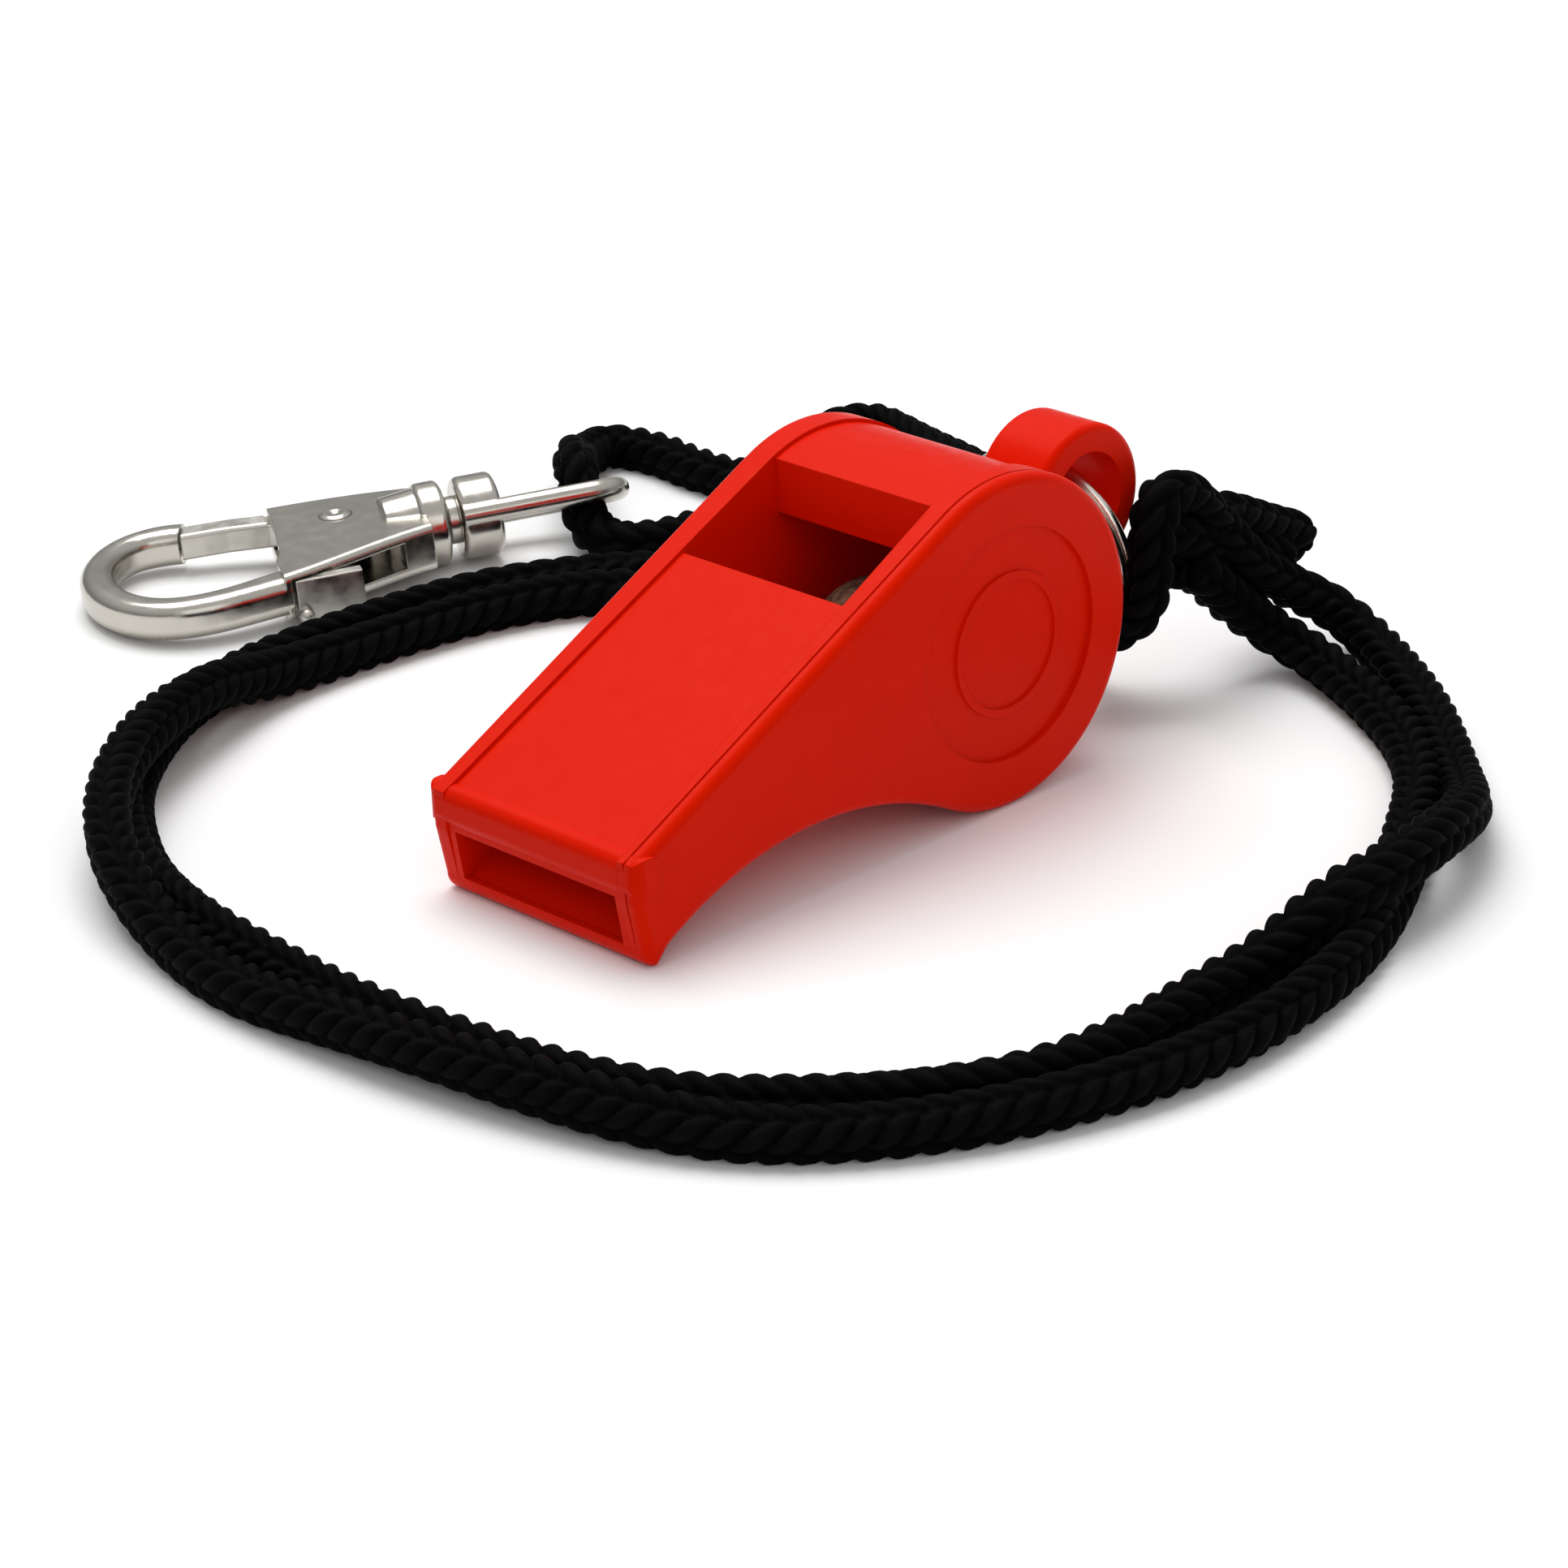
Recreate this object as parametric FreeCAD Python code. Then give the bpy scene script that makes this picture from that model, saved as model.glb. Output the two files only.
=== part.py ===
import FreeCAD, Part
import math
import os

# Pea whistle on a doubled braided lanyard with a swivel trigger snap hook.
# Millimetres.  X runs across the whistle, Y from the mouth to the lug, Z is up.
# The floor is Z = 0 and the origin is under the middle of the whistle and its ring.

V3 = FreeCAD.Vector
os.makedirs("parts", exist_ok=True)

# ---- whistle -------------------------------------------------------------
LENGTH = 57.0          # mouth lip to the back of the lug
HALF_W = 10.0          # body is 20 mm across the cheeks
LIP_HALF = 10.2        # the bead at the mouth stands slightly proud
SLOT_HALF = 7.75       # half width of the air slot
TOP_Z0 = 7.74          # height of the cheek edge at the mouth
TOP_SLOPE = 26.31      # degrees, rise of the top towards the barrel
TOP_STEP = 0.25        # the top plate lies this much below the cheek edges
BARREL_Y = 35.7        # barrel axis
BARREL_Z = 12.0
BARREL_R = 12.0
CHAMBER_R = 8.3
CHEEK_IN_MOUTH = 8.4   # inner face of a cheek at the mouth
CHEEK_TAPER = 0.029    # and how fast it thickens towards the back
ARCH_Y = 16.77         # centre of the hollow under the neck
ARCH_Z = -22.1
WIN_FRONT = 22.1       # sound window
WIN_BACK = 31.0
GROOVE_X = 8.95        # fine line along the right cheek's edge
GROOVE_W = 0.16
GROOVE_D = 0.14
DISC_R = 8.33          # recessed round panel on the right cheek
DISC_DEPTH = 0.35
LUG_Y = 51.5
LUG_Z = 16.3
LUG_R = 5.5
LUG_HOLE_R = 3.5
LUG_HALF = 3.0
PEA_R = 4.8
PEA_ORBIT = 3.2
PEA_ANGLE = 212.0

# ---- ring ----------------------------------------------------------------
RING_X = -3.35
RING_Y = 53.75
RING_Z = 10.3
RING_R = 7.75
RING_WIRE = 0.4
RING_PITCH = 0.84
RING_LEAN = -10.3      # degrees, the top leans towards the mouth

# ---- cord ----------------------------------------------------------------
CORD_R = 1.5
CORD_Z = 1.53

# ---- hook ----------------------------------------------------------------
HOOK_O = V3(-55.96, 40.61, 3.42)   # middle of the collar
HOOK_YAW = 61.0
HOOK_PITCH = 3.4
EYE_ROLL = -23.7                   # the swivel eye is turned on its post
EYE_B = 2.75                       # half width of the eye at its centre line
EYE_WIRE = 0.9
RIVET_U = -7.5
RIVET_V = 1.0

# ---- where the frame sits --------------------------------------------------
SHIFT = V3(0.55, -LENGTH / 2.0, 0.0)


def face_yz(edges, x):
    """Closed outline in YZ, moved to x."""
    f = Part.Face(Part.Wire(Part.__sortEdges__(edges)))
    f.translate(V3(x, 0, 0))
    return f


def line(y1, z1, y2, z2):
    return Part.makeLine(V3(0, y1, z1), V3(0, y2, z2))


def arc(cy, cz, r, a1, a2):
    """Arc in YZ from angle a1 to a2 (degrees, counter-clockwise, 0 = +Y)."""
    am = 0.5 * (a1 + a2)
    pts = []
    for a in (a1, am, a2):
        t = math.radians(a)
        pts.append(V3(0, cy + r * math.cos(t), cz + r * math.sin(t)))
    return Part.Arc(pts[0], pts[1], pts[2]).toShape()


def body_outline(step, front):
    """Side view of the whistle: step lowers the top, front moves the mouth back."""
    r = BARREL_R - step
    t_top = math.radians(90.0 + TOP_SLOPE)
    ty = BARREL_Y + r * math.cos(t_top)
    tz = BARREL_Z + r * math.sin(t_top)
    z0 = tz - (ty - front) * math.tan(math.radians(TOP_SLOPE))
    # the hollow runs into the barrel as a tangent
    d = math.hypot(BARREL_Y - ARCH_Y, BARREL_Z - ARCH_Z)
    ra = d - r
    ja = math.degrees(math.atan2(BARREL_Z - ARCH_Z, BARREL_Y - ARCH_Y))
    jb = ja - 180.0
    heel_a = math.degrees(math.atan2(1.12 - ARCH_Z, 3.0 - ARCH_Y))
    hy = ARCH_Y + ra * math.cos(math.radians(heel_a))
    hz = ARCH_Z + ra * math.sin(math.radians(heel_a))
    edges = [line(0.85, 1.3, 0.12 + front, 4.9)]
    edges.append(Part.Arc(V3(0, 0.85, 1.3), V3(0, 1.2, 0.35), V3(0, 1.95, 0.0)).toShape())
    edges.append(line(0.12 + front, 4.9, front, z0))
    edges.append(line(front, z0, ty, tz))
    edges.append(arc(BARREL_Y, BARREL_Z, r, jb, 90.0 + TOP_SLOPE))
    edges.append(arc(ARCH_Y, ARCH_Z, ra, ja, heel_a))
    edges.append(line(hy, hz, 1.95, 0.0))
    return edges


def cheek_zone(side):
    """Everything outside the inner face of one cheek."""
    def xin(y):
        return CHEEK_IN_MOUTH - CHEEK_TAPER * y
    pts = [V3(xin(-2), -2, -1), V3(12, -2, -1), V3(12, 60, -1), V3(xin(60), 60, -1)]
    pts.append(pts[0])
    zone = Part.Face(Part.makePolygon(pts)).extrude(V3(0, 0, 30))
    if side < 0:
        zone = zone.mirror(V3(0, 0, 0), V3(1, 0, 0))
    return zone


def rounded(shape, pick, radius):
    """Fillet the picked edges; a smaller radius is tried before giving up."""
    for r in (radius, radius * 0.7, radius * 0.4):
        try:
            out = shape.makeFillet(r, [e for e in shape.Edges if pick(e)])
            if out.isValid() and len(out.Solids) == 1:
                return out
        except Exception:
            pass
    print("a fillet was left out")
    return shape


def make_cheek(side):
    slab = face_yz(body_outline(0.0, 0.0), 0).extrude(V3(HALF_W, 0, 0))
    cheek = slab.common(cheek_zone(1)).Solids[0]

    def outer(e):
        bb = e.BoundBox
        return bb.XMin > HALF_W - 0.01
    cheek = rounded(cheek, outer, 0.75)
    if side > 0:
        rim = face_yz(body_outline(0.0, 0.0), GROOVE_X).extrude(V3(GROOVE_W, 0, 0))
        inner = face_yz(body_outline(GROOVE_D, GROOVE_D), GROOVE_X).extrude(V3(GROOVE_W, 0, 0))
        cheek = cheek.cut(rim.cut(inner))
    if side > 0:
        disc = Part.makeCylinder(DISC_R, 2, V3(HALF_W - DISC_DEPTH, BARREL_Y, BARREL_Z), V3(1, 0, 0))
        keep = Part.makeCylinder(5.2, 2, V3(HALF_W - DISC_DEPTH - 0.01, BARREL_Y, BARREL_Z), V3(1, 0, 0))
        well = Part.makeCylinder(4.6, 2, V3(HALF_W - DISC_DEPTH - 0.01, BARREL_Y, BARREL_Z), V3(1, 0, 0))
        raised = keep.cut(well).common(
            Part.makeBox(1.0, 60, 60, V3(HALF_W - DISC_DEPTH - 0.01, 0, -10)))
        raised = raised.common(Part.makeBox(0.2, 60, 60, V3(HALF_W - DISC_DEPTH - 0.01, 0, -10)))
        cheek = cheek.cut(disc).fuse(raised)
    bead = lip_bead().common(cheek_zone(1))
    cheek = cheek.fuse(bead).removeSplitter()
    if side < 0:
        cheek = cheek.mirror(V3(0, 0, 0), V3(1, 0, 0))
    return cheek


def lip_bead():
    """Round-edged bead across the mouth, a little wider than the body."""
    z0 = 5.15
    z1 = 8.05
    bead = Part.makeBox(2 * LIP_HALF, 2.3, z1 - z0, V3(-LIP_HALF, 0.0, z0))

    def long_edge(e):
        bb = e.BoundBox
        return bb.XLength > 10 and (bb.YMax < 0.1 or bb.ZMin > z1 - 0.1) or bb.YMax < 0.1 and bb.ZLength > 2
    return rounded(bead, long_edge, 0.95)


def windway():
    """Flat channel from the mouth to the front edge of the window."""
    pts = [(-1.0, 1.4), (-1.0, 5.0), (1.5, 5.0), (WIN_FRONT + 0.2, 17.0),
           (WIN_FRONT + 0.2, 15.4), (3.6, 2.55), (1.5, 1.4)]
    poly = [V3(-SLOT_HALF, y, z) for y, z in pts]
    poly.append(poly[0])
    return Part.Face(Part.makePolygon(poly)).extrude(V3(2 * SLOT_HALF, 0, 0))


def window():
    pts = [(WIN_FRONT, 15.4), (WIN_FRONT, 26.0), (WIN_BACK, 26.0),
           (WIN_BACK, BARREL_Z), (27.9, 9.2)]
    poly = [V3(-9.5, y, z) for y, z in pts]
    poly.append(poly[0])
    return Part.Face(Part.makePolygon(poly)).extrude(V3(19.0, 0, 0))


def make_lug():
    loop = Part.makeCylinder(LUG_R, 2 * LUG_HALF, V3(-LUG_HALF, LUG_Y, LUG_Z), V3(1, 0, 0))
    pts = [(38.0, 4.5), (38.0, 19.6), (46.4, 18.6), (47.6, 19.2), (48.6, 20.6), (LUG_Y, LUG_Z + LUG_R),
           (LUG_Y, LUG_Z - LUG_R),
           (49.0, 11.0), (46.6, 8.4), (46.0, 4.5)]
    poly = [V3(-LUG_HALF, y, z) for y, z in pts]
    poly.append(poly[0])
    web = Part.Face(Part.makePolygon(poly)).extrude(V3(2 * LUG_HALF, 0, 0))
    return loop.fuse(web).removeSplitter()


def make_core():
    block = face_yz(body_outline(TOP_STEP, 0.15), -HALF_W).extrude(V3(2 * HALF_W, 0, 0))
    core = block.cut(cheek_zone(1)).cut(cheek_zone(-1))
    bead = lip_bead().cut(cheek_zone(1)).cut(cheek_zone(-1))
    core = core.fuse(bead)
    lug = make_lug()
    barrel = Part.makeCylinder(BARREL_R - TOP_STEP, 2 * LUG_HALF,
                               V3(-LUG_HALF, BARREL_Y, BARREL_Z), V3(1, 0, 0))
    core = core.fuse(lug.cut(barrel))
    chamber = Part.makeCylinder(CHAMBER_R, 19.0, V3(-9.5, BARREL_Y, BARREL_Z), V3(1, 0, 0))
    core = core.cut(chamber).cut(window()).cut(windway())
    hole = Part.makeCylinder(LUG_HOLE_R, 12.0, V3(-6.0, LUG_Y, LUG_Z), V3(1, 0, 0))
    core = core.cut(hole).removeSplitter()

    def lug_rim(e):
        bb = e.BoundBox
        return bb.YMin > 48.2 and bb.XLength < 0.01 and bb.YLength > 3.5
    return rounded(core, lug_rim, 0.6)


def make_pea():
    t = math.radians(PEA_ANGLE)
    return Part.makeSphere(PEA_R, V3(0, BARREL_Y + PEA_ORBIT * math.cos(t),
                                     BARREL_Z + PEA_ORBIT * math.sin(t)))


def ring_place(shape):
    """From a ring about Z at the origin to where the ring hangs."""
    shape.rotate(V3(0, 0, 0), V3(1, 0, 0), -90.0 - RING_LEAN)
    shape.translate(V3(RING_X, RING_Y, RING_Z))
    return shape


def make_ring():
    turns = 1.94
    height = RING_PITCH * turns
    helix = Part.makeHelix(RING_PITCH, height, RING_R)
    helix.translate(V3(0, 0, -height / 2.0))
    start = V3(RING_R, 0, -height / 2.0)
    prof = Part.Wire([Part.makeCircle(RING_WIRE, start, V3(0, 1, 0))])
    coil = Part.Wire(helix.Edges).makePipeShell([prof], True, True)
    coil.rotate(V3(0, 0, 0), V3(0, 0, 1), 100.0)
    return ring_place(coil)


# ---- cord ----------------------------------------------------------------
def tube(points, radius, name):
    """Straight runs joined by tangent arcs, swept by a circle."""
    pts = [V3(*p) for p in points]
    edges = []
    here = pts[0]
    for i in range(1, len(pts) - 1):
        a = pts[i - 1] - pts[i]
        b = pts[i + 1] - pts[i]
        la = a.Length
        lb = b.Length
        a.normalize()
        b.normalize()
        cut = 0.45 * min(la, lb)
        p = pts[i] + a * cut
        q = pts[i] + b * cut
        half = a.getAngle(b) / 2.0
        bis = a + b
        bis.normalize()
        rad = cut * math.tan(half)
        mid = pts[i] + bis * (cut / math.cos(half) - rad)
        edges.append(Part.makeLine(here, p))
        edges.append(Part.Arc(p, mid, q).toShape())
        here = q
    edges.append(Part.makeLine(here, pts[-1]))
    path = Part.Wire(edges)
    d = pts[1] - pts[0]
    d.normalize()
    prof = Part.Wire([Part.makeCircle(radius, pts[0], d)])
    out = path.makePipeShell([prof], True, False)
    print(name, "radius mm", radius, "centre line mm", round(path.Length, 1))
    return out


def smooth_tube(points, radius, name, first, last):
    """A tube on one smooth curve through the points, with its end directions given."""
    pts = [V3(*p) for p in points]
    curve = Part.BSplineCurve()
    curve.interpolate(pts, InitialTangent=first, FinalTangent=last)
    edge = curve.toShape()
    t = curve.tangent(curve.FirstParameter)[0]
    prof = Part.Wire([Part.makeCircle(radius, pts[0], t)])
    out = Part.Wire([edge]).makePipeShell([prof], True, True)
    print(name, "radius mm", radius, "centre line mm", round(edge.Length, 1))
    return out


LOOP = [
    (5.6, 62.1, 12.1), (6.4, 64.3, 8.7), (6.9, 68.6, 5.7), (9.0, 71.8, 3.5),
    (12.9, 72.4, 1.9), (18.8, 69.7, CORD_Z), (25.0, 65.2, CORD_Z), (30.4, 60.0, CORD_Z), (34.8, 55.0, 1.7),
    (38.9, 49.2, 3.5), (41.3, 43.0, 4.7), (42.4, 36.4, 4.75), (42.2, 31.3, 4.5),
    (41.3, 25.4, 1.9), (41.0, 18.5, CORD_Z), (41.6, 11.0, CORD_Z), (40.6, 4.0, CORD_Z),
    (37.0, -2.2, CORD_Z), (32.5, -7.4, CORD_Z), (27.0, -12.2, CORD_Z), (18.9, -14.9, CORD_Z),
    (10.0, -16.2, CORD_Z), (1.5, -16.8, CORD_Z), (-7.4, -16.1, CORD_Z), (-16.0, -15.3, CORD_Z),
    (-24.1, -13.2, CORD_Z), (-30.6, -9.7, CORD_Z), (-36.1, -5.6, CORD_Z), (-41.0, 0.1, CORD_Z),
    (-45.2, 6.4, CORD_Z), (-47.6, 13.6, CORD_Z), (-48.5, 21.0, CORD_Z), (-48.3, 28.5, CORD_Z),
    (-46.6, 36.0, CORD_Z), (-43.2, 42.6, CORD_Z), (-39.0, 47.7, CORD_Z), (-32.4, 52.4, CORD_Z),
    (-26.3, 59.0, CORD_Z), (-24.5, 66.3, CORD_Z), (-29.0, 71.3, CORD_Z), (-36.2, 70.7, CORD_Z),
    (-41.1, 65.0, CORD_Z), (-42.6, 59.4, CORD_Z), (-42.4, 53.8, CORD_Z), (-44.9, 49.6, 1.6),
    (-48.9, 50.2, 2.0), (-51.3, 51.5, 6.2), (-55.6, 55.3, 4.9), (-60.2, 59.8, 2.2),
    (-63.0, 65.2, CORD_Z), (-58.0, 66.6, CORD_Z), (-52.1, 65.7, CORD_Z), (-46.6, 66.4, CORD_Z),
    (-47.2, 72.5, CORD_Z), (-51.6, 79.0, CORD_Z), (-49.6, 84.0, CORD_Z), (-43.2, 82.0, CORD_Z),
    (-35.5, 80.4, CORD_Z), (-29.0, 77.6, CORD_Z), (-22.8, 73.2, CORD_Z), (-20.3, 66.2, CORD_Z),
    (-21.8, 58.3, CORD_Z), (-27.8, 50.8, CORD_Z), (-34.3, 45.9, CORD_Z), (-39.6, 41.2, CORD_Z),
    (-43.0, 35.0, CORD_Z), (-44.7, 27.5, CORD_Z), (-44.8, 19.5, 1.6), (-44.0, 13.0, 2.3),
    (-41.9, 6.2, 4.3), (-38.7, -0.9, 4.75), (-34.2, -7.6, 4.75), (-28.1, -13.4, 4.5),
    (-21.5, -17.0, 3.3), (-14.0, -18.9, 1.7), (-6.0, -20.3, CORD_Z), (2.6, -19.8, 2.0),
    (10.5, -19.2, 2.5), (19.0, -18.0, 2.5), (26.5, -16.0, 2.1), (33.0, -12.7, CORD_Z),
    (38.6, -7.0, CORD_Z), (42.9, 0.2, CORD_Z), (45.6, 8.0, CORD_Z), (46.6, 16.0, CORD_Z),
    (45.8, 25.0, CORD_Z), (43.4, 33.0, CORD_Z), (39.6, 40.4, CORD_Z), (35.4, 47.4, CORD_Z),
    (31.4, 53.6, CORD_Z), (25.6, 59.0, CORD_Z), (18.5, 62.8, CORD_Z), (11.6, 66.0, 1.8),
    (7.8, 66.0, 3.1), (6.6, 63.7, 5.3), (6.2, 61.3, 7.7), (6.1, 58.9, 9.9),
]


# the cord's turn through the ring, from the upper strand round to the lower
HITCH = [
    LOOP[0], (5.7, 58.4, 15.4), (6.1, 55.5, 15.7), (6.5, 54.3, 13.0), (6.6, 54.1, 10.4),
    (6.0, 53.6, 7.9), (3.7, 52.1, 6.3), (1.4, 52.6, 5.8), (0.9, 55.0, 6.8), (2.8, 57.0, 8.5),
    LOOP[-1],
]


def make_hitch():
    first = V3(*LOOP[0]) - V3(*LOOP[1])
    last = V3(*LOOP[-2]) - V3(*LOOP[-1])
    first.normalize()
    last.normalize()
    return smooth_tube(HITCH, CORD_R - 0.05, "cord_ring_hitch", first, last)


JOIN = [(4.9, 66.3, 10.7), (4.3, 69.6, 9.1), (4.4, 72.1, 8.0), (5.0, 73.4, 7.2)]


def make_join():
    return tube(JOIN, CORD_R - 0.05, "cord_join")


# ---- hook, drawn flat with U along X, V along Y, W up, then laid down ------
def lay_hook(shape):
    shape.rotate(V3(0, 0, 0), V3(0, 1, 0), -HOOK_PITCH)
    shape.rotate(V3(0, 0, 0), V3(0, 0, 1), HOOK_YAW)
    shape.translate(HOOK_O)
    return shape


def spline(points):
    c = Part.BSplineCurve()
    c.interpolate([V3(u, v, 0) for u, v in points])
    return c.toShape()


def poly(points):
    pts = [V3(u, v, 0) for u, v in points]
    return [Part.makeLine(pts[i], pts[i + 1]) for i in range(len(pts) - 1)]


def slab(edges, w0, w1):
    f = Part.Face(Part.Wire(Part.__sortEdges__(edges)))
    f.translate(V3(0, 0, w0))
    s = f.extrude(V3(0, 0, w1 - w0))
    return s


def make_hook_frame():
    # bow: outer and inner curves from the gate seat round the nose to the spine
    outer = [(-18.5, 7.05), (-21.6, 7.45), (-24.4, 6.3), (-26.8, 3.6), (-28.05, 0.0), (-28.0, -3.4),
             (-26.6, -7.2), (-24.0, -9.9), (-20.8, -10.9), (-17.0, -10.6), (-13.0, -9.8)]
    inner = [(-13.0, -6.5), (-16.4, -7.5), (-19.6, -8.2), (-22.4, -7.7), (-24.4, -5.6),
             (-25.3, -2.4), (-25.2, 0.6), (-24.2, 3.2), (-22.4, 4.75), (-20.9, 4.9), (-19.54, 4.7)]
    edges = [spline(outer), spline(inner)]
    edges += poly([outer[-1], inner[0]])
    edges += poly([inner[-1], outer[0]])
    bow = slab(edges, -1.6, 1.45)

    def long_curves(e):
        bb = e.BoundBox
        return bb.ZLength < 0.01 and bb.XLength > 8
    bow = rounded(bow, long_curves, 1.05)
    # body plate between the spine and the collar
    far = [(-12.2, 5.6), (-8.0, 5.4), (-4.0, 4.9), (-1.0, 4.3)]
    near = [(-1.0, -5.0), (-4.0, -6.0), (-8.0, -7.7), (-13.6, -9.9)]
    edges = [spline(far), spline(near)]
    edges += poly([far[-1], near[0]])
    edges += poly([near[-1], (-13.6, -6.6), (-12.9, -4.0), (-12.4, 1.2), (-12.2, 5.6)])
    plate = slab(edges, -1.95, 1.85)

    def rim(e):
        bb = e.BoundBox
        return bb.ZLength < 0.01 and bb.XLength > 3
    plate = rounded(plate, rim, 0.6)
    boss = Part.makeCone(2.75, 3.1, 3.0, V3(-4.0, 0, 0), V3(1, 0, 0))
    collar = Part.makeCylinder(3.37, 2.2, V3(-1.45, 0, 0), V3(1, 0, 0))
    collar = rounded(collar, lambda e: e.BoundBox.XLength < 0.01, 0.5)
    frame = bow.fuse(plate).fuse(boss).fuse(collar)
    # slot for the gate lever, open on the far, near and bow sides
    slot = slab(poly([(-14.5, -4.2), (-14.5, 9.0), (-5.6, 9.0), (-4.9, 3.2), (-3.6, 0.4),
                      (-3.6, -4.2), (-3.2, -9.5), (-9.4, -12.5), (-12.6, -12.5), (-12.0, -5.6),
                      (-14.5, -4.2)]), -1.05, 1.05)
    frame = frame.cut(slot)
    # round well for the post's head and bore for the post
    well = Part.makeCylinder(2.15, 2.1, V3(-3.3, 0, 0), V3(1, 0, 0))
    bore = Part.makeCylinder(1.42, 6.0, V3(-2.0, 0, 0), V3(1, 0, 0))
    pin = Part.makeCylinder(0.92, 6.0, V3(RIVET_U, RIVET_V, -3.0))
    frame = frame.cut(well).cut(bore).cut(pin)
    # round recess the thumb tab swings in
    recess = Part.makeCylinder(12.6, 4.0, V3(RIVET_U, RIVET_V, -2.6))
    recess = recess.cut(Part.makeCylinder(9.6, 4.0, V3(RIVET_U, RIVET_V, -2.6)))
    recess = recess.common(Part.makeBox(13.1, 8.0, 4.0, V3(-13.1, -12.6, -2.6)))
    frame = frame.cut(recess)
    solids = sorted(frame.Solids, key=lambda q: -q.Volume)
    if len(solids) > 1:
        print("hook frame pieces", [round(q.Volume, 2) for q in solids])
    return lay_hook(solids[0])


def make_gate():
    # straight bar from the nose seat back to the knuckle
    bar = slab(poly([(-19.35, 4.5), (-18.55, 6.6), (-15.4, 6.45), (-11.4, 5.7), (-10.2, 5.0),
                     (-10.2, 2.6), (-12.4, 3.7), (-15.6, 4.3), (-19.35, 4.5)]), -1.0, 1.15)

    def along(e):
        bb = e.BoundBox
        return bb.ZLength < 0.01 and bb.XLength > 2
    bar = rounded(bar, along, 0.35)
    bar = bar.cut(Part.makeBox(4.0, 8.0, 2.0, V3(-12.5, 0.0, 0.93)))
    neck = slab(poly([(-12.0, 3.3), (-12.0, 5.5), (-9.0, 4.4), (-5.4, 2.2), (-5.2, 0.4),
                      (-6.4, -1.4), (-7.6, -4.8), (-8.9, -8.9), (-11.2, -8.9), (-10.0, -4.6),
                      (-9.6, 0.0), (-10.6, 2.6), (-12.0, 3.3)]), -0.85, 0.85)
    tab = Part.makeBox(5.2, 1.0, 3.35, V3(-12.8, -9.75, -2.15))
    tab = rounded(tab, lambda e: e.BoundBox.YLength > 0.9 and e.BoundBox.ZMax < -2.0, 1.1)
    lever = bar.fuse(neck).fuse(tab)
    peg = Part.makeSphere(0.62, V3(-12.35, -10.15, -1.55))
    lever = lever.fuse(peg)
    hole = Part.makeCylinder(0.97, 6.0, V3(RIVET_U, RIVET_V, -3.0))
    pocket = Part.makeCylinder(1.75, 1.2, V3(RIVET_U, RIVET_V, 0.0))
    lever = lever.cut(hole).cut(pocket)
    return lay_hook(lever.Solids[0] if len(lever.Solids) == 1 else lever)


def make_rivet():
    pin = Part.makeCylinder(0.92, 3.8, V3(RIVET_U, RIVET_V, -1.95))
    head = Part.makeCone(1.35, 0.95, 0.25, V3(RIVET_U, RIVET_V, 1.85))
    dimple = Part.makeSphere(0.75, V3(RIVET_U, RIVET_V, 2.62))
    foot = Part.makeCone(0.95, 1.3, 0.2, V3(RIVET_U, RIVET_V, -2.15))
    return lay_hook(pin.fuse(head).fuse(foot).cut(dimple).removeSplitter())


def make_spring():
    """Two-turn torsion spring round the rivet, above the lever."""
    helix = Part.makeHelix(0.36, 0.72, 1.32)
    helix.translate(V3(RIVET_U, RIVET_V, 0.2))
    start = V3(RIVET_U + 1.32, RIVET_V, 0.2)
    prof = Part.Wire([Part.makeCircle(0.15, start, V3(0, 1, 0))])
    coil = Part.Wire(helix.Edges).makePipeShell([prof], True, True)
    return lay_hook(coil)


def make_eye():
    """Hub, post and the loop the cord runs through, turned on the post."""
    hub = Part.makeCylinder(3.3, 3.3, V3(1.75, 0, 0), V3(1, 0, 0))
    hub = rounded(hub, lambda e: e.BoundBox.XLength < 0.01, 0.6)
    post = Part.makeCylinder(1.35, 4.4, V3(-1.9, 0, 0), V3(1, 0, 0))
    neck = Part.makeCylinder(1.9, 0.9, V3(1.0, 0, 0), V3(1, 0, 0))
    u0 = 1.9
    u1 = 15.8 - EYE_WIRE - EYE_B
    edges = [Part.makeLine(V3(u0, EYE_B, 0), V3(u1, EYE_B, 0)),
             Part.Arc(V3(u1, EYE_B, 0), V3(u1 + EYE_B, 0, 0), V3(u1, -EYE_B, 0)).toShape(),
             Part.makeLine(V3(u1, -EYE_B, 0), V3(u0, -EYE_B, 0))]
    prof = Part.Wire([Part.makeCircle(EYE_WIRE, V3(u0, EYE_B, 0), V3(1, 0, 0))])
    loop = Part.Wire(edges).makePipeShell([prof], True, False)
    eye = hub.fuse(post).fuse(neck).fuse(loop).removeSplitter()
    eye.rotate(V3(0, 0, 0), V3(1, 0, 0), EYE_ROLL)
    return lay_hook(eye)


def make_head():
    """Riveted-over head that keeps the post in the collar."""
    head = Part.makeCylinder(2.0, 1.05, V3(-2.95, 0, 0), V3(1, 0, 0))
    return lay_hook(rounded(head, lambda e: e.BoundBox.XLength < 0.01, 0.25))


PARTS = [
    ("whistle_core", make_core), ("cheek_right", lambda: make_cheek(1)),
    ("cheek_left", lambda: make_cheek(-1)), ("cork_pea", make_pea),
    ("split_ring", make_ring),
    ("lanyard_cord", lambda: tube(LOOP, CORD_R, "lanyard_cord")),
    ("cord_ring_hitch", make_hitch), ("cord_join", make_join),
    ("hook_frame", make_hook_frame),
    ("gate_lever", make_gate), ("gate_rivet", make_rivet), ("gate_spring", make_spring),
    ("swivel_eye", make_eye), ("swivel_head", make_head),
]

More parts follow.
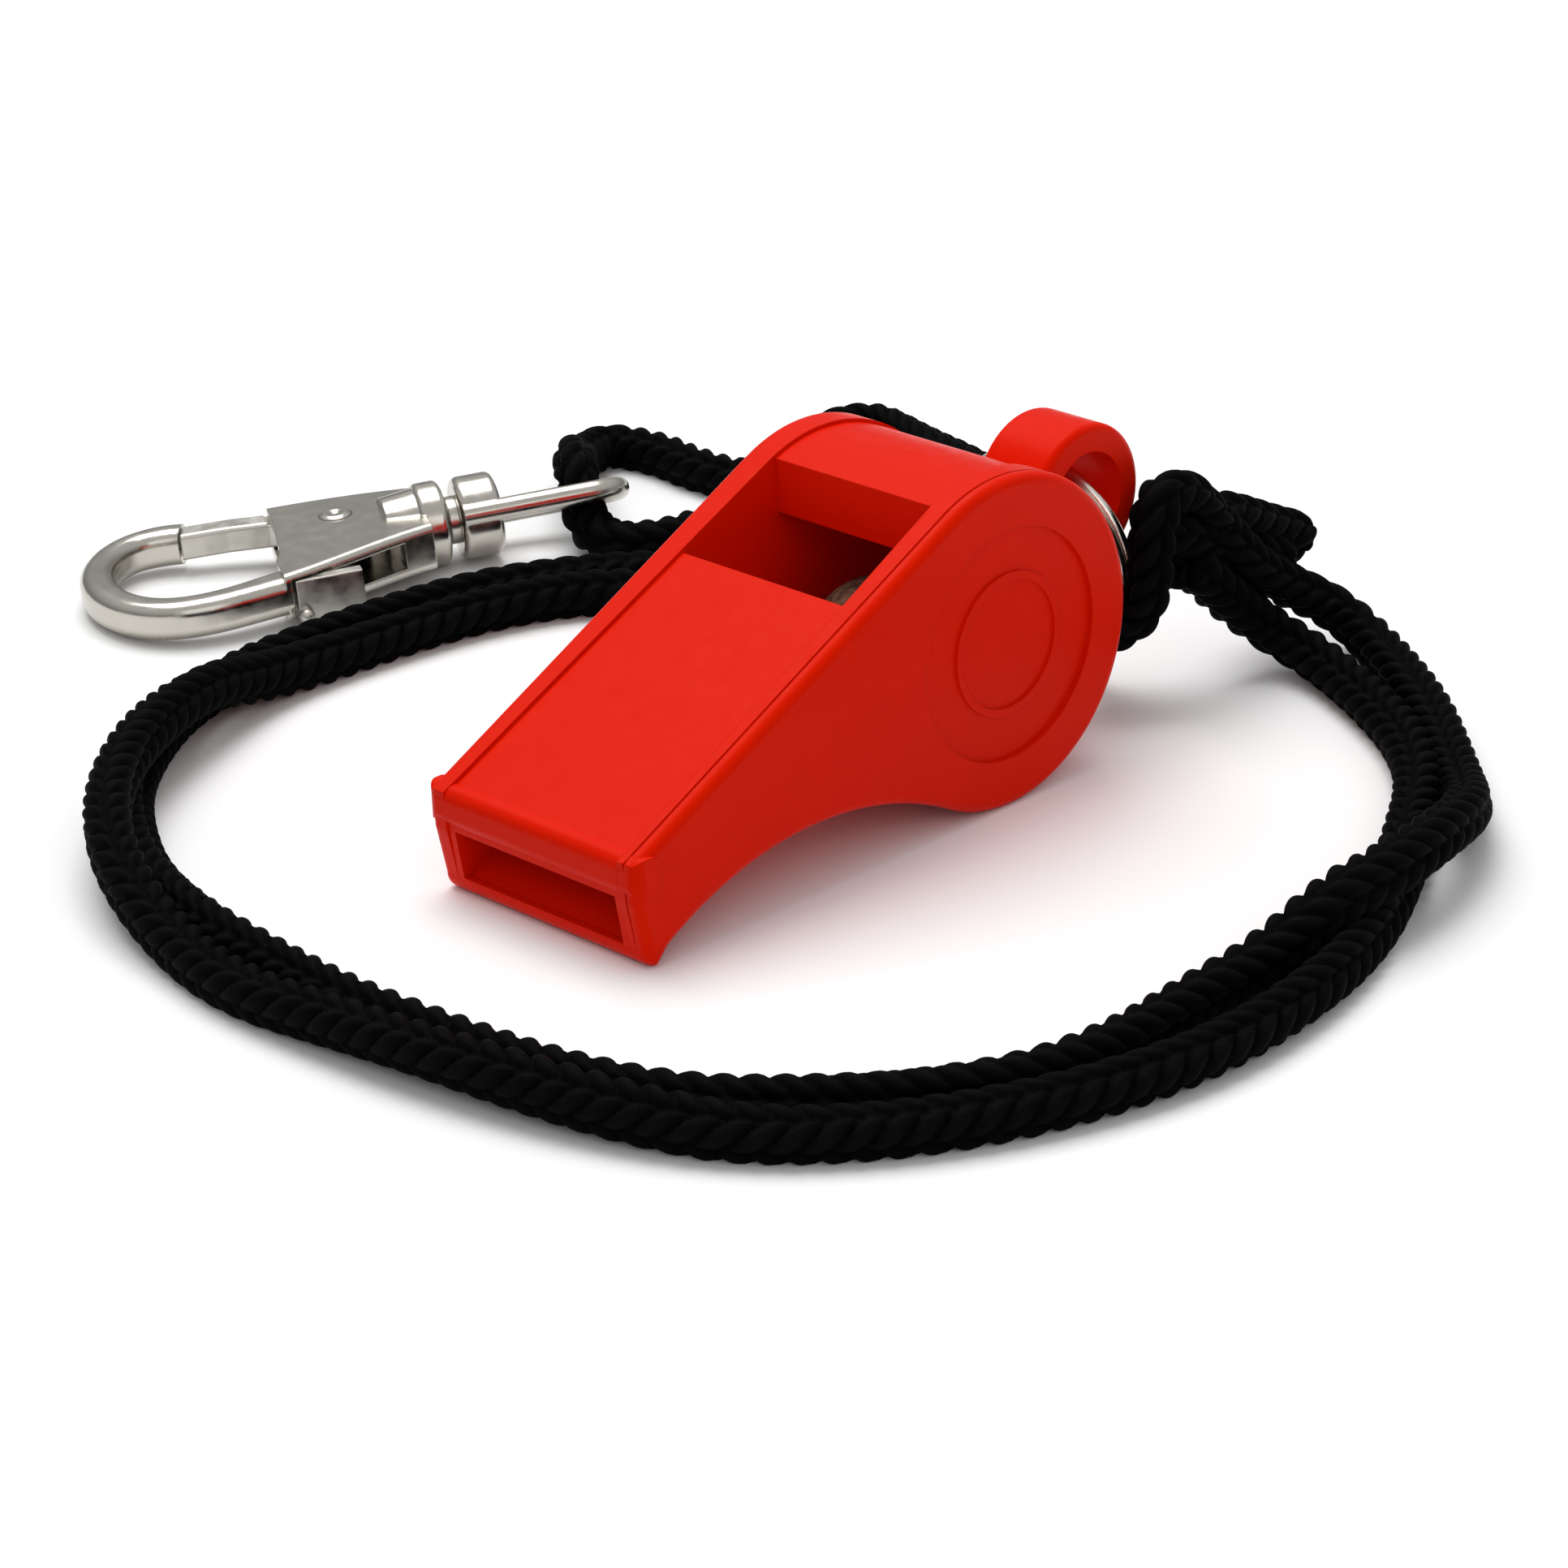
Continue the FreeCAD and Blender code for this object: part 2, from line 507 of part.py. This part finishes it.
for name, build in PARTS:
    shape = build()
    shape.translate(SHIFT)
    bb = shape.BoundBox
    print("%-16s solids %d valid %s vol %.1f  x %.2f..%.2f y %.2f..%.2f z %.2f..%.2f" % (
        name, len(shape.Solids), shape.isValid(), shape.Volume,
        bb.XMin, bb.XMax, bb.YMin, bb.YMax, bb.ZMin, bb.ZMax))
    shape.exportStep("parts/%s.step" % name)
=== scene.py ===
import math

import bpy
import numpy as np
from mathutils import Matrix, Vector


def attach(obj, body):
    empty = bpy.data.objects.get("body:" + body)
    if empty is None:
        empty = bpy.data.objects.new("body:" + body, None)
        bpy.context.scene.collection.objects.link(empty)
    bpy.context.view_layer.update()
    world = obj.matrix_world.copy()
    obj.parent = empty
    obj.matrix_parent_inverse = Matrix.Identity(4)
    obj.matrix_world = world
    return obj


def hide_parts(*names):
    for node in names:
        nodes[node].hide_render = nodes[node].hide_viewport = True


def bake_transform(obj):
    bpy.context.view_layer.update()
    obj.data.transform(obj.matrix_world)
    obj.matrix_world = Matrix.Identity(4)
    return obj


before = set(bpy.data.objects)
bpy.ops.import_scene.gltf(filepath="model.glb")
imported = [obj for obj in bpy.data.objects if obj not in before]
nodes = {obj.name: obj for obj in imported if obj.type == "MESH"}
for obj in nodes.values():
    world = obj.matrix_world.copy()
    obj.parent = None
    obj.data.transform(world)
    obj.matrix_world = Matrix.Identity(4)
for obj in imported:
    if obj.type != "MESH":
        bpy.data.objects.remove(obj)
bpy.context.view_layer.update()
MM = 0.001
SHIFT = (0.55, -28.5, 0.0)     # from the routes' origin at the mouth lip to the part's own, mm

CAM_AZ, CAM_EL, CAM_ROLL = 45.842, 23.745, -2.179      # degrees
CAM_PLACE = (0.219906, -0.218138, 0.137427)            # metres
CAM_LENS = 111.8

CORD_R = 1.5 * MM              # lanyard
HITCH_R = 1.46 * MM
SEWN_R = 1.55 * MM
STEP = 0.16 * MM               # between two rings of points along a cord
RINGS = 44                     # points round a cord
LOW = 0.00004                  # no cord point is lower than this above the floor
BRAID_DIP = -0.26              # mm, the braid's hollows against the cord's radius
BRAID_RISE = 0.62              # mm, from a hollow to the top of a stitch
BRAID_PITCH = 1.95             # mm, one stitch
BRAID_SLANT = 1.15             # mm, how far a stitch leans
CAP = 0.9 * MM                 # length of a cut end's rounding
END_RUN = 34                   # mm of lanyard between the hitch and the whistle's own stretch
EYE_RUN = 22                   # mm of lanyard on each side of the swivel eye
EYE_AT = (-50.0, 51.0, 4.1)    # where the lanyard crosses the swivel eye

KEY_POWER, FILL_POWER = 4.6, 0.5
WORLD_STRENGTH = 0.62
FLOOR_HALF = 1.6               # metres
FLOOR_CELLS = 12


# ---- camera ---------------------------------------------------------------
def make_camera():
    az, el, roll = (math.radians(v) for v in (CAM_AZ, CAM_EL, CAM_ROLL))
    back = Vector((math.sin(az) * math.cos(el), -math.cos(az) * math.cos(el), math.sin(el)))
    right = Vector((math.cos(az), math.sin(az), 0.0))
    up = back.cross(right)
    r2 = right * math.cos(roll) + up * math.sin(roll)
    u2 = -right * math.sin(roll) + up * math.cos(roll)
    cam = bpy.data.cameras.new("camera")
    cam.lens = CAM_LENS
    cam.sensor_width = 36.0
    cam.clip_start = 0.02
    obj = bpy.data.objects.new("camera", cam)
    m = Matrix((r2, u2, back)).transposed().to_4x4()
    m.translation = Vector(CAM_PLACE)
    obj.matrix_world = m
    bpy.context.collection.objects.link(obj)
    bpy.context.scene.camera = obj


make_camera()

# ---- cord routes, millimetres ---------------------------------------------
F = 1.53                       # height of the cord's centre line where it lies on the floor
LOOP = [
    (5.6, 62.1, 12.1), (6.4, 64.3, 8.7), (6.9, 68.6, 5.7), (9.0, 71.8, 3.5),
    (12.7, 71.6, 1.9), (18.3, 68.3, F), (24.2, 64.0, F), (29.6, 59.1, F), (34.3, 54.5, 1.7),
    (38.9, 49.2, 3.5), (41.3, 43.0, 4.7), (42.4, 36.4, 4.75), (42.2, 31.3, 4.5),
    (41.3, 25.4, 1.9), (41.0, 18.5, F), (41.6, 11.0, F), (40.6, 4.0, F),
    (37.0, -2.2, F), (32.5, -7.4, F), (27.0, -12.2, F), (18.9, -14.9, F),
    (10.0, -16.2, F), (1.5, -16.8, F), (-7.4, -16.1, F), (-16.0, -15.3, F),
    (-24.1, -13.2, F), (-30.6, -9.7, F), (-36.1, -5.6, F), (-41.0, 0.1, F),
    (-45.2, 6.4, F), (-47.5, 13.6, F), (-47.9, 21.0, F), (-47.1, 28.4, F),
    (-45.9, 35.8, F), (-43.0, 42.4, F), (-39.0, 47.7, F), (-32.4, 52.4, F),
    (-26.3, 59.0, F), (-24.5, 66.3, F), (-29.0, 71.3, F), (-36.2, 70.7, F),
    (-41.1, 65.0, F), (-42.6, 59.4, F), (-42.4, 53.8, F), (-44.9, 49.6, 1.6),
    (-48.9, 50.2, 2.0), (-51.3, 51.5, 6.2), (-55.6, 55.3, 4.9), (-60.2, 59.8, 2.2),
    (-63.0, 65.2, F), (-58.0, 66.6, F), (-52.1, 65.7, F), (-46.6, 66.4, F),
    (-47.2, 72.5, F), (-51.6, 79.0, F), (-49.6, 84.0, F), (-43.2, 82.0, F),
    (-35.5, 80.4, F), (-29.0, 77.6, F), (-22.8, 73.2, F), (-20.3, 66.2, F),
    (-21.8, 58.3, F), (-27.8, 50.8, F), (-34.3, 45.9, F), (-39.6, 41.2, F),
    (-42.5, 34.8, F), (-43.9, 27.4, F), (-44.4, 19.5, 1.6), (-44.0, 13.0, 2.3),
    (-41.9, 6.2, 4.3), (-38.7, -0.9, 4.75), (-34.2, -7.6, 4.75), (-28.1, -13.4, 4.5),
    (-21.5, -17.0, 3.3), (-14.0, -18.9, 1.7), (-6.0, -20.3, F), (2.6, -19.8, 2.0),
    (10.5, -19.2, 2.5), (19.0, -18.0, 2.5), (26.5, -16.0, 2.1), (33.0, -12.7, F),
    (38.6, -7.0, F), (42.9, 0.2, F), (45.6, 8.0, F), (46.6, 16.0, F),
    (45.8, 25.0, F), (43.4, 33.0, F), (39.6, 40.4, F), (35.4, 47.4, F),
    (31.4, 53.6, F), (25.8, 59.2, F), (18.8, 63.4, F), (11.9, 66.5, 1.8),
    (7.8, 66.0, 3.1), (6.6, 63.7, 5.3), (6.2, 61.3, 7.7), (6.1, 58.9, 9.9),
]
HITCH = [
    (5.6, 62.1, 12.1), (5.5, 60.2, 14.6), (5.8, 57.6, 15.9), (6.2, 55.2, 15.9), (6.6, 54.1, 13.2),
    (6.7, 53.9, 10.4), (6.2, 53.3, 7.6), (3.8, 51.7, 6.1), (1.1, 52.3, 5.5), (0.6, 55.1, 6.6),
    (2.8, 57.4, 8.5), (4.4, 58.2, 9.6), (6.1, 58.9, 9.9),
]
JOIN = [
    (4.6, 63.6, 12.0), (4.5, 66.3, 10.9), (4.3, 69.6, 9.2), (4.4, 72.1, 8.1), (5.1, 73.5, 7.2),
]
TUCK = [
    (5.2, 56.3, 13.0), (5.6, 58.8, 12.4), (5.3, 61.8, 10.5), (5.0, 65.0, 9.2), (5.4, 68.3, 7.6),
    (6.0, 70.2, 6.6),
]


def spline_points(name, route):
    """Points read from the route's own NURBS spline, in metres."""
    cu = bpy.data.curves.new(name, "CURVE")
    cu.dimensions = "3D"
    cu.resolution_u = 24
    sp = cu.splines.new("NURBS")
    sp.points.add(len(route) - 1)
    for p, q in zip(sp.points, route):
        p.co = [(q[i] + SHIFT[i]) * MM for i in range(3)] + [1.0]
    sp.use_endpoint_u = True
    sp.order_u = 3
    ob = bpy.data.objects.new(name, cu)
    bpy.context.collection.objects.link(ob)
    bpy.context.view_layer.update()
    me = bpy.data.meshes.new_from_object(ob)
    pts = np.array([v.co for v in me.vertices], float)
    bpy.data.meshes.remove(me)
    bpy.data.objects.remove(ob)
    bpy.data.curves.remove(cu)
    return pts


def even(pts, step):
    """The same line with evenly spaced points."""
    seg = np.linalg.norm(np.diff(pts, axis=0), axis=1)
    acc = np.concatenate([[0.0], np.cumsum(seg)])
    n = max(4, int(round(acc[-1] / step)))
    s = np.linspace(0, acc[-1], n + 1)
    return np.stack([np.interp(s, acc, pts[:, i]) for i in range(3)], axis=1), s


def frames(pts, first=None):
    """A direction and two turning-free side vectors at every point."""
    t = np.gradient(pts, axis=0)
    t /= np.linalg.norm(t, axis=1)[:, None]
    a = np.zeros_like(t)
    a[0] = np.cross(t[0], [0.0, 0.0, 1.0]) if first is None else first
    a[0] -= t[0] * a[0].dot(t[0])
    a[0] /= np.linalg.norm(a[0])
    for i in range(1, len(t)):
        v = a[i - 1] - t[i] * a[i - 1].dot(t[i])
        a[i] = v / np.linalg.norm(v)
    return t, a, np.cross(t, a)


def braid_height(s, th):
    """Plump slanting stitches in four columns, leaning in turn to each side. 0 to 1."""
    s = s / MM
    drift = 0.45 * np.sin(s / 37.0) + 0.2 * np.sin(s / 13.0 + 1.0)
    q = (th + drift + 0.35) / (math.pi / 2)
    col = np.floor(q)
    a = (q - col) * 2 - 1
    side = np.where(np.mod(col, 2) < 0.5, 1.0, -1.0)
    along = (s + side * a * BRAID_SLANT + np.where(side > 0, 0.0, 0.5 * BRAID_PITCH)
             + 0.14 * np.sin(s / 2.9 + col * 1.7)) / BRAID_PITCH
    row = np.floor(along)
    p = along - row
    wob = 0.08 * np.sin(row * 12.9898 + col * 78.233)
    across = np.clip(1 - np.abs(a) ** 2.6, 0, 1) ** 0.55
    tear = np.clip(np.sin(math.pi * np.clip(p, 0, 1) ** 0.8), 0, 1) ** 0.62
    return np.clip(across * tear * (1 + wob), 0, 1.1)


def end_round(d):
    """The share of the radius left at distance d from a cut end."""
    return np.sqrt(np.clip(1 - np.clip(1 - d / CAP, 0, 1) ** 2, 0.02, 1))


def braid(name, pts, s, tab, radius, capped=False):
    """A braided tube along pts; s is the distance along the whole cord."""
    t, a, b = tab
    n = len(pts)
    th = np.linspace(0, 2 * math.pi, RINGS, endpoint=False)
    S, T = np.meshgrid(s, th, indexing="ij")
    h = braid_height(S, T)
    rad = radius + MM * (BRAID_DIP + BRAID_RISE * h)
    flat = 1 + 0.05 * np.sin(S / MM / 9.0) * np.cos(2 * T)
    rad = rad * flat
    if capped:
        for d in (s - s[0], s[-1] - s):
            rad = rad * end_round(d)[:, None]
    co = (pts[:, None, :] + a[:, None, :] * (np.cos(T) * rad)[..., None]
          + b[:, None, :] * (np.sin(T) * rad)[..., None]).reshape(-1, 3)
    low = co[:, 2] < LOW
    co[low, 2] = LOW
    faces = []
    for i in range(n - 1):
        r0 = i * RINGS
        for j in range(RINGS):
            k = (j + 1) % RINGS
            faces.append((r0 + j, r0 + k, r0 + RINGS + k, r0 + RINGS + j))
    faces.append(tuple(range(RINGS - 1, -1, -1)))
    faces.append(tuple((n - 1) * RINGS + j for j in range(RINGS)))
    me = bpy.data.meshes.new(name)
    me.from_pydata(co.tolist(), [], faces)
    me.polygons.foreach_set("use_smooth", [True] * len(me.polygons))
    # the stitch height is kept for the cord's colour: painted shade in the hollows, painted
    # highlight on the stitch tops
    at = me.attributes.new("stitch", "FLOAT", "POINT")
    at.data.foreach_set("value", h.reshape(-1).astype(np.float32))
    me.update()
    ob = bpy.data.objects.new(name, me)
    bpy.context.collection.objects.link(ob)
    return ob


# ---- materials --------------------------------------------------------------
def material(name, color, rough, metal=0.0, **more):
    m = bpy.data.materials.new(name)
    m.use_nodes = True
    b = m.node_tree.nodes["Principled BSDF"]
    b.inputs["Base Color"].default_value = (*color, 1)
    b.inputs["Roughness"].default_value = rough
    b.inputs["Metallic"].default_value = metal
    for k, v in more.items():
        b.inputs[k.replace("_", " ")].default_value = v
    return m, m.node_tree, b


def node(tree, kind, **values):
    n = tree.nodes.new(kind)
    for k, v in values.items():
        if k in n.inputs:
            n.inputs[k].default_value = v
        else:
            setattr(n, k, v)
    return n


def noise(tree, scale, detail=4.0):
    co = node(tree, "ShaderNodeTexCoord")
    n = node(tree, "ShaderNodeTexNoise", Scale=scale, Detail=detail)
    tree.links.new(co.outputs["Object"], n.inputs["Vector"])
    return n.outputs["Fac"]


def ramp(tree, src, stops):
    r = node(tree, "ShaderNodeValToRGB")
    e = r.color_ramp.elements
    e[0].position, e[0].color = stops[0][0], (*stops[0][1], 1)
    e[1].position, e[1].color = stops[-1][0], (*stops[-1][1], 1)
    for pos, col in stops[1:-1]:
        k = e.new(pos)
        k.color = (*col, 1)
    tree.links.new(src, r.inputs["Fac"])
    return r.outputs["Color"]


def grey(tree, src, lo, hi):
    """The middle of a noise spread from lo to hi."""
    r = node(tree, "ShaderNodeMapRange")
    for k, v in zip(("From Min", "From Max", "To Min", "To Max"), (0.3, 0.7, lo, hi)):
        r.inputs[k].default_value = v
    tree.links.new(src, r.inputs["Value"])
    return r.outputs["Result"]


def bump(tree, bsdf, src, strength, distance, soft=None):
    n = node(tree, "ShaderNodeBump", Strength=strength, Distance=distance)
    tree.links.new(src, n.inputs["Height"])
    if soft:
        bv = node(tree, "ShaderNodeBevel", samples=6, Radius=soft)
        tree.links.new(bv.outputs["Normal"], n.inputs["Normal"])
    tree.links.new(n.outputs["Normal"], bsdf.inputs["Normal"])


def plastic():
    m, t, b = material("whistle_plastic", (0.74, 0.012, 0.0), 0.34, Specular_IOR_Level=0.07)
    b.inputs["Specular Tint"].default_value = (1.0, 0.42, 0.20, 1.0)
    col = ramp(t, noise(t, 420.0, 3.0), [(0.3, (0.71, 0.009, 0.0)), (0.7, (0.73, 0.010, 0.0))])
    t.links.new(col, b.inputs["Base Color"])
    t.links.new(grey(t, noise(t, 900.0, 5.0), 0.29, 0.42), b.inputs["Roughness"])
    bump(t, b, noise(t, 2600.0, 3.0), 0.22, 0.00004, soft=0.00011)
    return m


def metal(name, color, rough, soft=0.0002):
    m, t, b = material(name, color, rough, 1.0)
    col = ramp(t, noise(t, 160.0, 4.0), [(0.3, tuple(c * 0.9 for c in color)), (0.7, color)])
    t.links.new(col, b.inputs["Base Color"])
    t.links.new(grey(t, noise(t, 700.0, 6.0), rough * 0.75, rough * 1.5), b.inputs["Roughness"])
    bump(t, b, noise(t, 500.0, 4.0), 0.12, 0.00006, soft=soft)
    return m


def fabric(name, lo, hi):
    m, t, b = material(name, lo, 0.72, Specular_IOR_Level=0.025)
    at = node(t, "ShaderNodeAttribute")
    at.attribute_name = "stitch"
    fib = noise(t, 5200.0, 4.0)
    mix = node(t, "ShaderNodeMath", operation="MULTIPLY")
    t.links.new(at.outputs["Fac"], mix.inputs[0])
    t.links.new(grey(t, fib, 0.5, 1.2), mix.inputs[1])
    # base colour runs from lo in the braid's hollows to hi on the stitch tops, times the fibre
    # noise: painted shade in the hollows and a painted highlight on the tops
    t.links.new(ramp(t, mix.outputs[0], [(0.2, lo), (0.95, hi)]), b.inputs["Base Color"])
    t.links.new(grey(t, fib, 0.52, 0.8), b.inputs["Roughness"])
    bump(t, b, fib, 0.5, 0.00008)
    return m


M_RED = plastic()
M_HOOK = metal("hook_nickel", (0.56, 0.535, 0.48), 0.19)
M_GATE = metal("gate_nickel", (0.60, 0.58, 0.53), 0.36)
M_RING = metal("ring_nickel", (0.86, 0.81, 0.74), 0.20, soft=0.00006)
M_SPRING = metal("spring_steel", (0.45, 0.45, 0.46), 0.28, soft=0.00004)
# black cord; the darker colour in the braid's hollows is painted shade and the lighter colour on
# the stitch tops is a painted highlight
M_CORD = fabric("braided_cord", (0.0005, 0.0005, 0.0006), (0.0030, 0.0032, 0.0038))


def cork():
    m, t, b = material("pea_cork", (0.30, 0.16, 0.08), 0.8)
    col = ramp(t, noise(t, 1500.0, 6.0), [(0.35, (0.04, 0.018, 0.01)), (0.5, (0.13, 0.065, 0.03)),
                                          (0.7, (0.22, 0.12, 0.06))])
    t.links.new(col, b.inputs["Base Color"])
    bump(t, b, noise(t, 2200.0, 5.0), 0.6, 0.0002)
    return m


M_PEA = cork()

# ---- cord pieces ---------------------------------------------------------------
line, along = even(spline_points("route_loop", LOOP), STEP)
tab = frames(line)


def near(p):
    """The index of the lanyard point nearest to p, given as the routes are."""
    q = np.array([(p[i] + SHIFT[i]) * MM for i in range(3)])
    return int(np.argmin(np.linalg.norm(line - q, axis=1)))


def steps(mm):
    return int(mm * MM / STEP)


def cord_piece(name, i, j):
    """The lanyard from point i to point j."""
    sl = slice(i, j + 1)
    ob = braid(name, line[sl], along[sl], tuple(x[sl] for x in tab), CORD_R)
    ob.data.materials.append(M_CORD)
    path = line[sl][::6]
    path = np.vstack([path, line[j][None]])
    return ob


def short_cord(name, route_name, route, replaced, turn, radius, first=None, capped=True):
    """A cord of its own that rides on the ring; returns it with its line and distances."""
    pts, s = even(spline_points(route_name, route), STEP)
    ob = braid(name, pts, s + turn, frames(pts, first), radius, capped)
    ob.data.materials.append(M_CORD)
    if replaced:
        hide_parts(replaced)
    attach(ob, "ring")
    return ob, pts, s


end_p = steps(END_RUN)
end_q = len(line) - 1 - steps(END_RUN)
eye = near(EYE_AT)
e0 = eye - steps(EYE_RUN)
e1 = eye + steps(EYE_RUN)
ring_p = cord_piece("lanyard_at_join", 0, end_p)
main_a = cord_piece("lanyard_first_round", end_p, e0)
at_eye = cord_piece("lanyard_at_eye", e0, e1)
main_b = cord_piece("lanyard_second_round", e1, end_q)
ring_q = cord_piece("lanyard_at_ring", end_q, len(line) - 1)
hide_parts("lanyard_cord")
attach(main_a, "whistle")
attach(main_b, "whistle")

hitch, hline, hs = short_cord("cord_hitch", "route_hitch", HITCH, "cord_ring_hitch", 0.3,
                              HITCH_R, first=-tab[1][0], capped=False)
short_cord("cord_sewn_end", "route_join", JOIN, "cord_join", 0.5, SEWN_R)
# a filler between the hitch and the two legs, with no CAD node of its own
short_cord("cord_sewn_middle", "route_tuck", TUCK, None, 0.7, CORD_R)
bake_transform(ring_p)
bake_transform(ring_q)
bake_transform(at_eye)

# ---- CAD nodes that stay ---------------------------------------------------------
for name, mat in (("whistle_core", M_RED), ("cheek_right", M_RED), ("cheek_left", M_RED),
                  ("cork_pea", M_PEA), ("split_ring", M_RING),
                  ("hook_frame", M_HOOK), ("gate_lever", M_GATE), ("gate_rivet", M_HOOK),
                  ("gate_spring", M_SPRING), ("swivel_eye", M_HOOK), ("swivel_head", M_HOOK)):
    me = nodes[name].data
    me.materials.clear()
    me.materials.append(mat)


# ---- floor and light ----------------------------------------------------------------
def stage():
    me = bpy.data.meshes.new("floor")
    k = FLOOR_HALF
    n = FLOOR_CELLS
    vs = [(-k + 2 * k * i / n, -k + 2 * k * j / n, 0.0)
          for j in range(n + 1) for i in range(n + 1)]
    fs = [(j * (n + 1) + i, j * (n + 1) + i + 1, (j + 1) * (n + 1) + i + 1, (j + 1) * (n + 1) + i)
          for j in range(n) for i in range(n)]
    me.from_pydata(vs, [], fs)
    floor = bpy.data.objects.new("floor", me)
    m, t, b = material("floor_paper", (0.93, 0.93, 0.93), 0.9, Specular_IOR_Level=0.1)
    bump(t, b, noise(t, 300.0, 3.0), 0.05, 0.0001)
    me.materials.append(m)
    bpy.context.collection.objects.link(floor)


def area(name, loc, aim, size, power):
    li = bpy.data.lights.new(name, "AREA")
    li.shape = "RECTANGLE"
    li.size, li.size_y = size
    li.energy = power
    ob = bpy.data.objects.new(name, li)
    ob.location = loc
    ob.rotation_euler = (Vector(aim) - Vector(loc)).to_track_quat("-Z", "Y").to_euler()
    bpy.context.collection.objects.link(ob)


def lights():
    w = bpy.data.worlds.new("studio")
    bpy.context.scene.world = w
    w.use_nodes = True
    t = w.node_tree
    bg = t.nodes["Background"]
    co = node(t, "ShaderNodeTexCoord")
    sep = node(t, "ShaderNodeSeparateXYZ")
    t.links.new(co.outputs["Generated"], sep.inputs[0])
    col = ramp(t, sep.outputs["Z"], [(0.0, (0.30, 0.30, 0.30)), (0.25, (0.55, 0.55, 0.55)),
                                     (0.6, (1.0, 1.0, 1.0)), (1.0, (1.0, 1.0, 1.0))])
    t.links.new(col, bg.inputs["Color"])
    bg.inputs["Strength"].default_value = WORLD_STRENGTH
    area("key", (-0.25, 0.10, 0.75), (0, 0, 0), (0.6, 0.6), KEY_POWER)
    area("fill", (0.55, -0.35, 0.35), (0, 0, 0), (0.5, 0.4), FILL_POWER)


stage()
lights()
view = bpy.context.scene.view_settings
view.view_transform = "Standard"
view.look = "None"
view.exposure = 0.0
